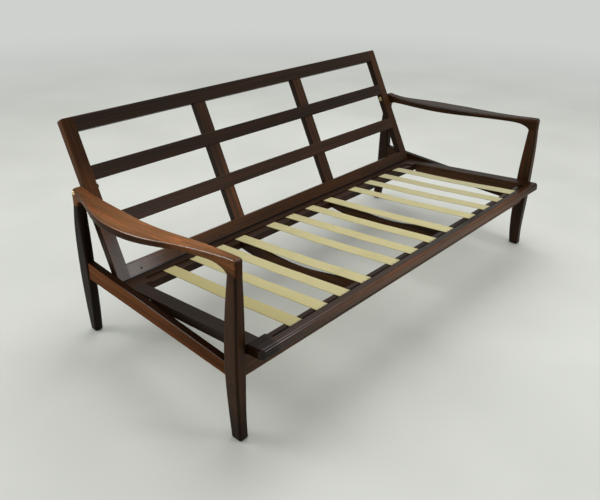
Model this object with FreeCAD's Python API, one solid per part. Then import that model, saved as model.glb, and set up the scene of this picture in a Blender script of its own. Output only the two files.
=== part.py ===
import FreeCAD, Part
import math
import os

# Sofa frame in mm. +X is the right end as seen from the front, +Y is the back, +Z is up.
# The origin is on the floor, under the middle of the frame.

# Main sizes
leg_outer = 875.0            # half width over the outer faces of the legs
front_y = -391.0             # axis of the front legs at the arm
rear_y = 345.0               # axis of the rear legs at the arm
front_leg_top = 528.0        # joint of arm and front leg
rear_leg_top = 490.0         # joint of arm and rear leg
knuckle_wide = 32.0          # rear end of the arm, across
pivot_gap = 3.5              # arm's rear end to the back's stile
seat_gap = 1.5               # the seat frame is narrower than the back by this on each side

# Leg outlines from the floor up: (height, distance). Front and rear faces are measured from the leg's
# axis, the outer face beyond leg_outer, the inner face inside it.
front_leg_front = [(0, -25.0), (100, -20.5), (200, -22.0), (320, -22.0), (430, -22.0)]
front_leg_rear = [(0, 15.0), (100, 26.0), (200, 29.0), (320, 29.5), (430, 24.0)]
front_leg_out = [(0, -2.0), (100, 0.0), (200, 6.0), (320, 8.0), (430, 7.0)]
front_leg_in = [(0, 35.5), (100, 34.0), (200, 32.0), (320, 30.0), (430, 27.0)]
front_leg_end = (-18.5, 17.0, 3.5, 26.0)   # front, rear, outer and inner face at the arm
rear_leg_front = [(0, -6.0), (100, -19.5), (200, -28.0), (310, -25.7), (400, -21.3)]
rear_leg_rear = [(0, 26.0), (100, 26.8), (200, 26.8), (310, 26.6), (400, 23.2)]
rear_leg_out = [(0, -19.0), (100, -10.7), (200, -4.4), (310, -0.5), (400, 1.5)]
rear_leg_in = [(0, 49.0), (100, 42.0), (200, 35.0), (310, 33.8), (400, 33.0)]
rear_leg_end = (-15.5, 15.0, 0.0, 32.0)
leg_round = 8.0              # rounding of the long edges of the legs
foot_round = 7.5             # rounding under a foot
arm_round = 8.0              # rounding of the arm's edges
leg_back_round = 10.0        # larger rounding of a leg's rear inner edge
leg_tenon = 15.0             # side of the square tenon on a leg's top
leg_tenon_long = 17.0
leg_tenon_in = (14.0, 16.0)  # tenon's axis from the outer face, front and rear

# Armrest outlines. Front half: distance behind the front leg's axis; rear half: distance before the
# rear leg's axis. Heights stand above the straight line between the two leg joints.
arm_nose = -19.0
arm_nose_round = 10.0
knuckle_before = 9.0         # centre of the rounded rear end
knuckle_up = 36.0
knuckle_r = 26.0
arm_top_front = [(-9.0, 51.0), (25, 48.8), (75, 46.1), (125, 43.8), (175, 41.5), (225, 39.2), (275, 37.1),
                 (325, 35.8), (375, 35.5)]
arm_top_rear = [(311, 35.8), (261, 37.1), (211, 39.0), (161, 41.5), (111, 45.0), (71, 49.3), (39, 55.5)]
arm_under_rear = [(18, 9.9), (26, 17.9), (41, 21.2), (61, 21.1), (111, 18.0), (161, 14.5), (211, 11.4),
                  (261, 9.1), (311, 8.4)]
arm_under_front = [(375, 9.3), (325, 11.6), (275, 14.5), (225, 17.4), (175, 19.9), (125, 21.6), (75, 21.3),
                   (55, 18.7), (37, 13.1), (25, 7.0)]
arm_bulge_front = [(-39, 3.5), (-5, 3.6), (25, 4.4), (75, 8.0), (125, 14.3), (175, 23.0), (225, 35.0),
                   (275, 48.0), (325, 58.0), (375, 63.5)]
arm_bulge_rear = [(311, 65.0), (261, 63.5), (211, 57.0), (161, 44.0), (111, 26.0), (61, 10.0), (21, 2.0),
                  (-5, 0.0), (-35, 0.0)]
arm_inset_front = [(-39, 26.0), (-5, 26.2), (25, 27.6), (75, 29.8), (125, 30.4), (175, 29.2), (225, 27.4),
                   (275, 25.2), (325, 23.8), (375, 23.4)]
arm_inset_rear = [(311, 24.4), (261, 26.8), (211, 29.4), (161, 31.2)]
arm_straight_rear = [111, 61, 21, -5, -35]   # where the inner face is flat, as wide as the rear end

# Seat frame, drawn flat with its front top edge at v = 0, w = 0, then tilted and lifted
seat_front = -463.0
seat_front_z = 315.3
seat_tilt = 5.21             # degrees, lower at the back
seat_thick = 30.0
front_rail_wide = 60.0
rear_rail_wide = 70.0
seat_side_wide = 48.0
lip_wide = 12.0              # deeper inner edge of a side rail, behind the cross rail
lip_deep = 58.0              # lip's lower edge below the frame's top
lip_end_deep = 42.0          # the same at the rear rail
lip_taper = 90.0             # length over which the lip rises to the rear rail
stop_gap = 0.5               # back's lower front edge to the seat's rear face
seat_tenon_long = 18.0
seat_tenon_high = 12.0
seat_tenon_side = 10.0       # tenon's inset from the side rail's faces
seat_tenon_drop = 2.0        # tenon's centre below the rail's centre
rebate_deep = 5.0
rebate_stop = 73.0           # rebate's end to the seat's outer face
rebate_round = 10.0
front_ledge = 28.0           # depth of the front rebate, behind the raised nosing
rear_ledge = 35.0
nosing_round = 10.0          # upper front edge
seat_round = 4.0             # lower front edge
seat_corner_round = 13.0     # front corners, seen from above
seat_rear_round = 2.0

# Lower side rail: edges below the height of the seat's front, at the front and rear leg
side_rail_thick = 24.0
side_rail_front = (38.0, 116.4, 72.9)      # behind the front leg's axis, lower edge, upper edge
side_rail_rear = (29.0, 89.3, 26.8)        # before the rear leg's axis, lower edge, upper edge
side_tenon_thick = 11.0
side_tenon_front = 29.0
side_tenon_rear = 25.0
side_tenon_shoulder = 7.0
rail_round = 2.5

# Front cross rail
cross_before = 10.0          # front face ahead of the front leg's axis
cross_thick = 25.0
cross_drop = 110.3           # lower edge below the seat's front
cross_tenon_thick = 13.0
cross_tenon_back = 5.0       # tenon's front behind the rail's front
cross_tenon_long = 20.0
cross_tenon_shoulder = 9.0

# Back frame, reclining about the pivot bolts
pivot_behind = 0.5           # behind the rear leg's axis
pivot_up = 44.0              # above the joint of arm and rear leg
recline = 27.2               # degrees from upright
stile_wide = 46.0
stile_thick = 28.0
back_up = 236.0              # pivot to top edge, along the stile
back_down = 324.0            # pivot to lower edge, along the stile
top_rail_high = 50.0
upper_rail = (19.5, 68.5)    # lower and upper edge above the pivot
lower_rail = (-150.0, -100.0)
bottom_rail_high = 51.0
mid_rail_thick = 20.0
back_tenon_long = 25.0
back_tenon_thick = 10.0
back_tenon_shoulder = 7.0
back_round = 3.0
stile_end_round = 9.0
muntin_shift = (1.8, -19.8)  # from the thirds of the back
muntin_wide = 52.0
muntin_thick = 26.0
muntin_round = 2.0
muntin_tenon = 12.0
muntin_tenon_inset = 7.0
stud_pitch = 196.0
stud_end = 95.5              # last stud to the back's outer face
stud_up = 20.0               # above the back's lower edge
stud_r = 4.2
stud_high = 2.2
stud_pin_r = 1.6
stud_pin_long = 9.0

# Pivot hardware
bolt_r = 4.0
bolt_play = 0.05             # radial running clearance on the bolt
bolt_head_r = 7.0
bolt_head_high = 4.2
washer_r = 9.0
washer_play = 0.3            # between a washer and the turning stile
inner_washer_thick = 1.6
nut_r = 7.0
nut_high = 7.0
nut_round = 2.8
nut_depth = 5.0              # thread depth inside the nut

# Webbing: left edges from the middle of each of the three places
strap_wide = 51.3
strap_thick = 2.5
strap_end_gap = 0.6
strap_left = [(-189.0, -74.5, 31.9, 140.2), (-200.9, -89.8, 27.5, 143.7), (-193.6, -79.2, 30.5, 143.4)]
staple_wide = 11.0
staple_wire = 1.1
staple_long = 9.0
staple_inset = 7.0           # strap end to staple
staple_off = 12.5            # strap centre line to staple centre

# Bearers under the straps. Front half: distance behind the bearer's front end; rear half: distance
# before the rear rail. Depths are below the frame's top.
bearer_in = (1.0, 13.8)      # strap's left edge to the bearer's left face
bearer_wide = 12.0
bearer_top_front = [(0, 7.0), (115, 16.0), (239, 26.0)]
bearer_top_rear = [(166, 17.0), (94, 9.5), (0, 8.0)]
bearer_low_front = [(0, 50.0), (122, 57.0), (245, 60.0)]
bearer_low_rear = [(122, 53.0), (47, 41.5), (0, 30.0)]
bearer_tenon = 12.0
bearer_tenon_inset = 3.0

# Screws from the seat's side rails through spacers into the lower side rails
seat_screw_before = [325.0, 255.0]   # before the rear leg's axis
seat_screw_r = 3.0
seat_screw_head_r = 6.5
seat_screw_head = 4.0
seat_screw_bite = 16.0       # length in the lower side rail
spacer_r = 11.0
spacer_thick = 6.0

os.makedirs("parts", exist_ok=True)
V = FreeCAD.Vector
AX = V(1, 0, 0)

# Sizes that follow from the ones above
arm_in = leg_outer - knuckle_wide
back_half = arm_in - pivot_gap
stile_in = back_half - stile_wide
seat_half = back_half - seat_gap
seat_inner = seat_half - seat_side_wide
side_rail_in = seat_half + spacer_thick
side_rail_out = side_rail_in + side_rail_thick
pivot_y = rear_y + pivot_behind
pivot_z = rear_leg_top + pivot_up
cross_front = front_y - cross_before
cross_low = seat_front_z - cross_drop
far = 2 * leg_outer          # longer than any piece, for tools that cut right through

# Back and seat share one stop, so the seat's depth comes from the back's lower front edge.
back_place = FreeCAD.Placement(V(0, pivot_y, pivot_z), FreeCAD.Rotation(AX, -recline))
seat_place = FreeCAD.Placement(V(0, seat_front, seat_front_z), FreeCAD.Rotation(AX, -seat_tilt))
foot_edge = back_place.multVec(V(0, -stile_thick / 2, -back_down))
seat_deep = seat_place.inverse().multVec(foot_edge).y - stop_gap
seat_rear_open = seat_deep - rear_rail_wide


def box(x0, x1, y0, y1, z0, z1):
    return Part.makeBox(x1 - x0, y1 - y0, z1 - z0, V(x0, y0, z0))


def spline(points):
    curve = Part.BSplineCurve()
    curve.interpolate(points)
    return curve.toShape()


def line(a, b):
    return Part.LineSegment(a, b).toShape()


def prism(edges, direction):
    return Part.Face(Part.Wire(edges)).extrude(direction)


def cyl_x(x0, x1, y, z, r):
    return Part.makeCylinder(r, x1 - x0, V(x0, y, z), AX)


def mirror(shape):
    return shape.mirror(V(0, 0, 0), AX)


def largest(shape):
    return max(shape.Solids, key=lambda s: s.Volume)


def round_edges(shape, radius, keep):
    return shape.makeFillet(radius, [e for e in shape.Edges if keep(e)])


def along_x(edge):
    a = edge.valueAt(edge.FirstParameter)
    b = edge.valueAt(edge.LastParameter)
    return abs(a.y - b.y) < 1e-4 and abs(a.z - b.z) < 1e-4


def long_x(edge):
    return along_x(edge) and edge.Length > leg_outer


def place(shape, placement):
    moved = shape.copy()
    moved.transformShape(placement.toMatrix())
    return moved


def in_seat(shape):
    return place(shape, seat_place)


def in_back(shape):
    return place(shape, back_place)


def save(name, shape):
    shape.exportStep("parts/" + name + ".step")


def leg(axis_y, top, front, rear, outer, inner, end):
    """Side outline swept across, cut to the front outline, long edges and foot rounded."""
    f = [V(0, axis_y + y, z) for z, y in front] + [V(0, axis_y + end[0], top)]
    r = [V(0, axis_y + y, z) for z, y in rear] + [V(0, axis_y + end[1], top)]
    r.reverse()
    side = prism([spline(f), line(f[-1], r[0]), spline(r), line(r[-1], f[0])], V(far, 0, 0))
    o = [V(leg_outer + d, -far, z) for z, d in outer] + [V(leg_outer + end[2], -far, top)]
    i = [V(leg_outer - d, -far, z) for z, d in inner] + [V(leg_outer - end[3], -far, top)]
    o.reverse()
    face = prism([spline(i), line(i[-1], o[0]), spline(o), line(o[-1], i[0])], V(0, 2 * far, 0))
    body = side.common(face)
    mid_x = leg_outer + (outer[2][1] - inner[2][1]) / 2
    mid_y = axis_y + (front[2][1] + rear[2][1]) / 2

    def tall(e):
        return e.BoundBox.ZLength > 0.9 * top

    def behind(e):
        at = e.CenterOfMass
        return at.x < mid_x and at.y > mid_y

    body = round_edges(body, leg_back_round, lambda e: tall(e) and behind(e))
    body = round_edges(body, leg_round, lambda e: tall(e) and not behind(e))
    return round_edges(body, foot_round, lambda e: e.BoundBox.ZMax < foot_round / 2)


def joint_height(y):
    """Height of the straight line between the arm's two leg joints."""
    y0 = front_y + front_leg_end[1]
    y1 = rear_y + rear_leg_end[0]
    share = min(max((y - y0) / (y1 - y0), 0), 1)
    return front_leg_top + (rear_leg_top - front_leg_top) * share


def arm_points(front, rear):
    ys = [(front_y + d, h) for d, h in front] + [(rear_y - d, h) for d, h in rear]
    return sorted(ys)


def on_joint(edge):
    b = edge.BoundBox
    flat = b.ZLength < 1e-3
    return flat and min(abs(b.ZMin - front_leg_top), abs(b.ZMin - rear_leg_top)) < 1e-3


def armrest():
    """Side outline and plan outline, each swept, and what they share, with every edge rounded."""
    top = [V(0, y, joint_height(y) + h) for y, h in arm_points(arm_top_front, arm_top_rear)]
    cy = rear_y - knuckle_before
    cz = rear_leg_top + knuckle_up
    half = math.sqrt(0.5) * knuckle_r
    top.append(V(0, cy, cz + knuckle_r))
    tip = V(0, cy + knuckle_r, cz)
    crown = Part.Arc(top[-1], V(0, cy + half, cz + half), tip).toShape()
    heel = V(0, rear_y + rear_leg_end[1], rear_leg_top)
    under = [V(0, y, joint_height(y) + h) for y, h in arm_points(arm_under_front, arm_under_rear)]
    under.insert(0, V(0, front_y + front_leg_end[1], front_leg_top))
    under.append(V(0, rear_y + rear_leg_end[0], rear_leg_top))
    nose_y = front_y + arm_nose
    k = arm_nose_round * (1 - math.sqrt(0.5))
    nose_low = V(0, nose_y, top[0].z - arm_nose_round)
    nose = Part.Arc(nose_low, V(0, nose_y + k, top[0].z - k), top[0]).toShape()
    toe = V(0, nose_y, front_leg_top)
    edges = [nose, spline(top), crown, line(tip, heel), line(heel, under[-1]), spline(under[::-1])]
    edges += [line(under[0], toe), line(toe, nose_low)]
    side = prism(edges, V(far, 0, 0))
    o = [V(leg_outer + b, y, 0) for y, b in arm_points(arm_bulge_front, arm_bulge_rear)]
    flat = [(d, knuckle_wide) for d in arm_straight_rear]
    i = [V(leg_outer - t, y, 0) for y, t in arm_points(arm_inset_front, arm_inset_rear + flat)]
    i.reverse()
    plan = prism([spline(o), line(o[-1], i[0]), spline(i), line(i[-1], o[0])], V(0, 0, far))
    return round_edges(side.common(plan), arm_round, lambda e: not along_x(e) and not on_joint(e))


# End frames, drawn on the +X side
front_leg = leg(front_y, front_leg_top, front_leg_front, front_leg_rear, front_leg_out, front_leg_in,
                front_leg_end)
rear_leg = leg(rear_y, rear_leg_top, rear_leg_front, rear_leg_rear, rear_leg_out, rear_leg_in,
               rear_leg_end)
arm = armrest()
bolt_hole = cyl_x(0, far, pivot_y, pivot_z, bolt_r + bolt_play)
head_seat = cyl_x(leg_outer, far, pivot_y, pivot_z, bolt_head_r + washer_play)
washer_seat = cyl_x(0, arm_in, pivot_y, pivot_z, washer_r + washer_play)
arm = arm.cut([bolt_hole, head_seat, washer_seat])


def leg_top_tenon(y, z, inset):
    h = leg_tenon / 2
    x = leg_outer - inset
    return box(x - h, x + h, y - h, y + h, z, z + leg_tenon_long)


front_tenon = leg_top_tenon(front_y, front_leg_top, leg_tenon_in[0])
rear_tenon = leg_top_tenon(rear_y, rear_leg_top, leg_tenon_in[1])
arm = arm.cut([front_tenon, rear_tenon])
front_leg = front_leg.fuse(front_tenon).removeSplitter()
rear_leg = rear_leg.fuse(rear_tenon).removeSplitter()

# Lower side rail with a tenon in each leg
y0 = front_y + side_rail_front[0]
y1 = rear_y - side_rail_rear[0]


def rail_edge(y, k):
    """Height of the rail's lower (1) or upper (2) edge at y."""
    a = seat_front_z - side_rail_front[k]
    b = seat_front_z - side_rail_rear[k]
    return a + (b - a) * (y - y0) / (y1 - y0)


def rail_strip(ya, yb, xa, xb, inset):
    pts = [V(xa, ya, rail_edge(ya, 1) + inset), V(xa, yb, rail_edge(yb, 1) + inset)]
    pts += [V(xa, yb, rail_edge(yb, 2) - inset), V(xa, ya, rail_edge(ya, 2) - inset)]
    return Part.Face(Part.makePolygon(pts + [pts[0]])).extrude(V(xb - xa, 0, 0))


side_rail = rail_strip(y0 - side_tenon_front / 2, y1 + side_tenon_rear / 2, side_rail_in, side_rail_out, 0)
side_rail = round_edges(side_rail, rail_round, lambda e: e.BoundBox.YLength > (y1 - y0) / 2)
side_rail = largest(side_rail.cut([front_leg, rear_leg]))
ta = (side_rail_in + side_rail_out - side_tenon_thick) / 2
tb = ta + side_tenon_thick
side_tenons = [rail_strip(y0 - side_tenon_front, y0, ta, tb, side_tenon_shoulder),
               rail_strip(y1, y1 + side_tenon_rear, ta, tb, side_tenon_shoulder)]
side_rail = side_rail.fuse(side_tenons).removeSplitter()
front_leg = front_leg.cut(side_tenons[0])
rear_leg = rear_leg.cut(side_tenons[1])

# Front cross rail under the seat frame
cross_rear = cross_front + cross_thick
cross_end = leg_outer - front_leg_in[2][1] / 2
cross = box(-cross_end, cross_end, cross_front, cross_rear, cross_low, seat_front_z)
cross = round_edges(cross, rail_round, lambda e: long_x(e) and e.BoundBox.ZMax < seat_front_z - seat_thick)
cross = cross.cut(in_seat(box(-far, far, -far, far, -seat_thick, far)))
cross = largest(cross.cut([front_leg, mirror(front_leg)]))
tilt = math.radians(seat_tilt)
cross_top = seat_front_z - (cross_rear - seat_front) * math.tan(tilt) - seat_thick / math.cos(tilt)
c0 = cross_front + cross_tenon_back
cross_tenon = box(seat_half - cross_tenon_long, seat_half + cross_tenon_long, c0, c0 + cross_tenon_thick,
                  cross_low + cross_tenon_shoulder, cross_top - cross_tenon_shoulder)
cross = cross.fuse([cross_tenon, mirror(cross_tenon)]).removeSplitter()
front_leg = front_leg.cut(cross_tenon)

# Seat frame in its own flat coordinates
front_rail = box(-seat_half, seat_half, 0, front_rail_wide, -seat_thick, 0)
front_rail = round_edges(front_rail, seat_corner_round,
                         lambda e: e.BoundBox.ZLength > seat_thick / 2 and e.BoundBox.YMax < seat_round)
front_rail = round_edges(front_rail, nosing_round,
                         lambda e: e.BoundBox.ZMin > -seat_round and e.BoundBox.YMax < front_rail_wide / 2)
front_rail = round_edges(front_rail, seat_round,
                         lambda e: e.BoundBox.ZMax < seat_round - seat_thick
                         and e.BoundBox.YMax < front_rail_wide / 2)
rear_rail = box(-seat_half, seat_half, seat_rear_open, seat_deep, -seat_thick, 0)
rear_rail = round_edges(rear_rail, seat_rear_round,
                        lambda e: long_x(e) and e.BoundBox.YMin > seat_deep - seat_rear_round)
rebate_half = seat_half - rebate_stop
front_wall = front_rail_wide - front_ledge
rear_wall = seat_rear_open + rear_ledge


def rebate(v0, v1, wall):
    cut = box(-rebate_half, rebate_half, v0, v1, -rebate_deep, rebate_deep)
    return round_edges(cut, rebate_round,
                       lambda e: e.BoundBox.ZLength > rebate_deep and abs(e.BoundBox.YMin - wall) < 1e-3)


front_rail = front_rail.cut(rebate(front_wall, front_rail_wide + rebate_round, front_wall))
rear_rail = rear_rail.cut(rebate(seat_rear_open - rebate_round, rear_wall, rear_wall))
tenon_mid = -seat_thick / 2 - seat_tenon_drop
side_member = box(seat_inner, seat_half, front_rail_wide, seat_rear_open, -seat_thick, 0)
member_tenon = box(seat_inner + seat_tenon_side, seat_half - seat_tenon_side,
                   front_rail_wide - seat_tenon_long, seat_rear_open + seat_tenon_long,
                   tenon_mid - seat_tenon_high / 2, tenon_mid + seat_tenon_high / 2)
# Behind the cross rail the inner edge of a side rail reaches lower, as a lip.
cross_v = (cross_rear - seat_front + lip_deep * math.sin(tilt)) / math.cos(tilt) + rail_round
lip = [(cross_v, seat_thick), (cross_v, lip_deep), (seat_rear_open - lip_taper, lip_deep),
       (seat_rear_open, lip_end_deep), (seat_rear_open, seat_thick)]
lip = [V(seat_inner, v, -deep) for v, deep in lip]
lip = Part.Face(Part.makePolygon(lip + lip[:1])).extrude(V(lip_wide, 0, 0))
side_member = side_member.fuse([member_tenon, lip]).removeSplitter()
front_rail = front_rail.cut([member_tenon, mirror(member_tenon)])
rear_rail = rear_rail.cut([member_tenon, mirror(member_tenon)])

# Straps in three groups of four, and their staples
strap_top = strap_thick - rebate_deep
strap_v0 = front_wall + strap_end_gap
strap_v1 = rear_wall - strap_end_gap
strap_x = [0.6 * seat_half * (g - 1) + x for g in range(3) for x in strap_left[g]]


def staple(x, v):
    w = staple_wire / 2
    s = staple_wide / 2
    crown = box(x - s, x + s, v - w, v + w, strap_top, strap_top + staple_wire)
    leg_a = box(x - s, x - s + staple_wire, v - w, v + w, strap_top - staple_long, strap_top)
    leg_b = box(x + s - staple_wire, x + s, v - w, v + w, strap_top - staple_long, strap_top)
    return crown.fuse([leg_a, leg_b]).removeSplitter()


straps = []
front_staples = []
rear_staples = []
for x in strap_x:
    strap = box(x, x + strap_wide, strap_v0, strap_v1, -rebate_deep, strap_top)
    mid = x + strap_wide / 2
    at_front = [staple(mid + off, strap_v0 + staple_inset) for off in (-staple_off, staple_off)]
    at_rear = [staple(mid + off, strap_v1 - staple_inset) for off in (-staple_off, staple_off)]
    front_staples += at_front
    rear_staples += at_rear
    straps.append(strap.cut(at_front + at_rear))
front_rail = front_rail.cut(front_staples)
rear_rail = rear_rail.cut(rear_staples)

# Bearers under the fourth and eighth straps, dipped in the middle so that the straps can give


def dipped(x, a, front, rear):
    """Edge of a bearer from v = a to the rear rail."""
    return [V(x, a + d, -deep) for d, deep in front] + [V(x, seat_rear_open - d, -deep) for d, deep in rear]


# A bearer sits on the cross rail and reaches lower behind it.
bearers = []
for x in (strap_x[3] + bearer_in[0], strap_x[7] + bearer_in[1]):
    up = dipped(x, front_rail_wide, bearer_top_front, bearer_top_rear)
    low = dipped(x, cross_v, bearer_low_front, bearer_low_rear)[::-1]
    step = V(x, cross_v, -seat_thick)
    heel = V(x, front_rail_wide, -seat_thick)
    edges = [spline(up), line(up[-1], low[0]), spline(low), line(low[-1], step), line(step, heel),
             line(heel, up[0])]
    body = prism(edges, V(bearer_wide, 0, 0))
    i = bearer_tenon_inset
    tenons = [box(x + i, x + bearer_wide - i, v, v + bearer_tenon, -seat_thick + i, end.z - i)
              for v, end in ((front_rail_wide - bearer_tenon, up[0]), (seat_rear_open, up[-1]))]
    front_rail = front_rail.cut(tenons[0])
    rear_rail = rear_rail.cut(tenons[1])
    bearers.append(body.fuse(tenons).removeSplitter())

# Screws between the seat's side rails and the lower side rails
side_seat = in_seat(side_member)
screws = []
spacers = []
for before in seat_screw_before:
    y = rear_y - before
    z = seat_front_z - (y - seat_front) * math.tan(tilt) - seat_thick / 2
    shank = cyl_x(seat_inner + seat_screw_head, side_rail_in + seat_screw_bite, y, z, seat_screw_r)
    head = cyl_x(seat_inner, seat_inner + seat_screw_head, y, z, seat_screw_head_r)
    screw = shank.fuse(head).removeSplitter()
    side_seat = side_seat.cut(screw)
    side_rail = side_rail.cut(shank)
    screws.append(screw)
    spacers.append(cyl_x(seat_half, side_rail_in, y, z, spacer_r).cut(shank))

# Back frame in its own upright coordinates, pivot at the origin
bt = stile_thick / 2
stile = box(stile_in, back_half, -bt, bt, -back_down, back_up)
stile = round_edges(stile, stile_end_round,
                    lambda e: e.BoundBox.YLength > bt and e.BoundBox.XMin > back_half - back_round)
stile = round_edges(stile, back_round,
                    lambda e: e.BoundBox.ZLength > back_up and e.BoundBox.XMin > back_half - back_round)
stile = stile.cut(cyl_x(0, far, 0, 0, bolt_r + bolt_play))


def back_rail(z0, z1, thick):
    """Rail flush with the back's front face, with a tenon for each stile."""
    rail = box(-stile_in, stile_in, -bt, -bt + thick, z0, z1)
    rail = round_edges(rail, back_round, long_x)
    a = -bt + (thick - back_tenon_thick) / 2
    s = back_tenon_shoulder
    t = box(stile_in - s, stile_in + back_tenon_long, a, a + back_tenon_thick, z0 + s, z1 - s)
    return rail.fuse([t, mirror(t)]).removeSplitter(), t


bottom_top = -back_down + bottom_rail_high
top_low = back_up - top_rail_high
top_rail, t1 = back_rail(top_low, back_up, stile_thick)
up_rail, t2 = back_rail(upper_rail[0], upper_rail[1], mid_rail_thick)
low_rail, t3 = back_rail(lower_rail[0], lower_rail[1], mid_rail_thick)
bottom_rail, t4 = back_rail(-back_down, bottom_top, stile_thick)
stile = stile.cut([t1, t2, t3, t4])

# Uprights behind the two middle rails, notched round them
muntins = []
w = muntin_wide / 2
i = muntin_tenon_inset
for x in (-back_half / 3 + muntin_shift[0], back_half / 3 + muntin_shift[1]):
    body = box(x - w, x + w, bt - muntin_thick, bt, bottom_top, top_low)
    body = round_edges(body, muntin_round, lambda e: e.BoundBox.ZLength > back_up)
    t = box(x - w + i, x + w - i, bt - muntin_thick + i, bt - i,
            bottom_top - muntin_tenon, top_low + muntin_tenon)
    notches = [box(x - muntin_wide, x + muntin_wide, -stile_thick, -bt + mid_rail_thick, z0, z1)
               for z0, z1 in (upper_rail, lower_rail)]
    muntins.append(largest(body.fuse(t).cut(notches).removeSplitter()))
    top_rail = top_rail.cut(t)
    bottom_rail = bottom_rail.cut(t)

# Studs along the bottom rail
studs = []
stud_z = -back_down + stud_up
ball = (stud_r ** 2 + stud_high ** 2) / (2 * stud_high)
d = 2 * stud_r
for x in [k * stud_pitch for k in range(-3, 4)] + [stud_end - back_half, back_half - stud_end]:
    dome = Part.makeSphere(ball, V(x, -bt - stud_high + ball, stud_z))
    dome = dome.common(box(x - d, x + d, -bt - d, -bt, stud_z - d, stud_z + d))
    pin = Part.makeCylinder(stud_pin_r, stud_pin_long, V(x, -bt, stud_z), V(0, 1, 0))
    bottom_rail = bottom_rail.cut(pin)
    studs.append(dome.fuse(pin).removeSplitter())

# Pivot bolt, cap nut and washers on the +X side
outer_washer = cyl_x(back_half + washer_play, arm_in, pivot_y, pivot_z, washer_r).cut(bolt_hole)
nut_face = stile_in - washer_play - inner_washer_thick
inner_washer = cyl_x(nut_face, stile_in - washer_play, pivot_y, pivot_z, washer_r).cut(bolt_hole)
ball = (bolt_head_r ** 2 + bolt_head_high ** 2) / (2 * bolt_head_high)
head = Part.makeSphere(ball, V(leg_outer + bolt_head_high - ball, pivot_y, pivot_z))
d = 2 * bolt_head_r
head = head.common(box(leg_outer, leg_outer + d, pivot_y - d, pivot_y + d, pivot_z - d, pivot_z + d))
bolt = cyl_x(nut_face - nut_depth, leg_outer, pivot_y, pivot_z, bolt_r).fuse(head).removeSplitter()
nut = cyl_x(nut_face - nut_high, nut_face, pivot_y, pivot_z, nut_r)
nut = round_edges(nut, nut_round, lambda e: e.BoundBox.XMax < nut_face - nut_depth)
nut = nut.cut(cyl_x(nut_face - nut_depth, nut_face, pivot_y, pivot_z, bolt_r))

# One file for each piece; the left end is the mirror of the right
pairs = {
    "front_leg": front_leg, "rear_leg": rear_leg, "armrest": arm, "side_rail": side_rail,
    "seat_side_rail": side_seat, "back_stile": in_back(stile), "pivot_bolt": bolt, "pivot_nut": nut,
    "pivot_washers": Part.makeCompound([outer_washer, inner_washer]),
    "seat_screws": Part.makeCompound(screws), "seat_spacers": Part.makeCompound(spacers),
}
singles = {
    "front_cross_rail": cross, "seat_front_rail": in_seat(front_rail), "seat_rear_rail": in_seat(rear_rail),
    "seat_bearer_left": in_seat(bearers[0]), "seat_bearer_right": in_seat(bearers[1]),
    "staples_front": in_seat(Part.makeCompound(front_staples)),
    "staples_rear": in_seat(Part.makeCompound(rear_staples)),
    "back_top_rail": in_back(top_rail), "back_upper_rail": in_back(up_rail),
    "back_lower_rail": in_back(low_rail), "back_bottom_rail": in_back(bottom_rail),
    "back_muntin_left": in_back(muntins[0]), "back_muntin_right": in_back(muntins[1]),
    "cushion_studs": in_back(Part.makeCompound(studs)),
}
for i, strap in enumerate(straps):
    singles["webbing_%02d" % (i + 1)] = in_seat(strap)
for name, shape in pairs.items():
    save(name + "_right", shape)
    save(name + "_left", mirror(shape))
for name, shape in singles.items():
    save(name, shape)
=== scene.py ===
# %% [markdown]
# # A bare sofa frame, dressed for a portrait
# The frame comes in as solids: two end frames with paddle arms, a sloping seat frame and a ladder back
# that turns on two brass bolts. This lesson gives the solids their finishes, replaces the plain straps
# by woven ones, and sets a camera and soft light around them.

# %% Load the frame
import bpy
import math
import numpy as np
from mathutils import Matrix, Vector


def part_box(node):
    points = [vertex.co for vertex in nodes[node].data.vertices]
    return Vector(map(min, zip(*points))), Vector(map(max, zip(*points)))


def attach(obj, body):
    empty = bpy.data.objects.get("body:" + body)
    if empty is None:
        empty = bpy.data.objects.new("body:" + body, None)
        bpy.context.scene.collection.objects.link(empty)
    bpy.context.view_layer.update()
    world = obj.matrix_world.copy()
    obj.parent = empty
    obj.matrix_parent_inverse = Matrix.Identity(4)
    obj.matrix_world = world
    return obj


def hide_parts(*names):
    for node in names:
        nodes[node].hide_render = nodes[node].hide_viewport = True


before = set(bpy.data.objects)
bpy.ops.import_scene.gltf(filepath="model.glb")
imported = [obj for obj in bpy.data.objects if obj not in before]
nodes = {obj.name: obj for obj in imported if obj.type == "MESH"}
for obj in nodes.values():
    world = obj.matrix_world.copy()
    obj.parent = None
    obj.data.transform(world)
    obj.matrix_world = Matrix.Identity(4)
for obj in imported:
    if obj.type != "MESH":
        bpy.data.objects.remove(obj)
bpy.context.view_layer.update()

# %% [markdown]
# ## The camera
# The picture was taken from the front left, a little above the arms, with a normal lens. A camera could
# be placed by eye, but then every edge is a little off. Here its place, turn and lens were worked out
# from the frame's own straight edges. The optical axis is not in the middle of the picture, so the camera
# also has a small shift. The turn is given by three angles: round, down and roll.

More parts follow.
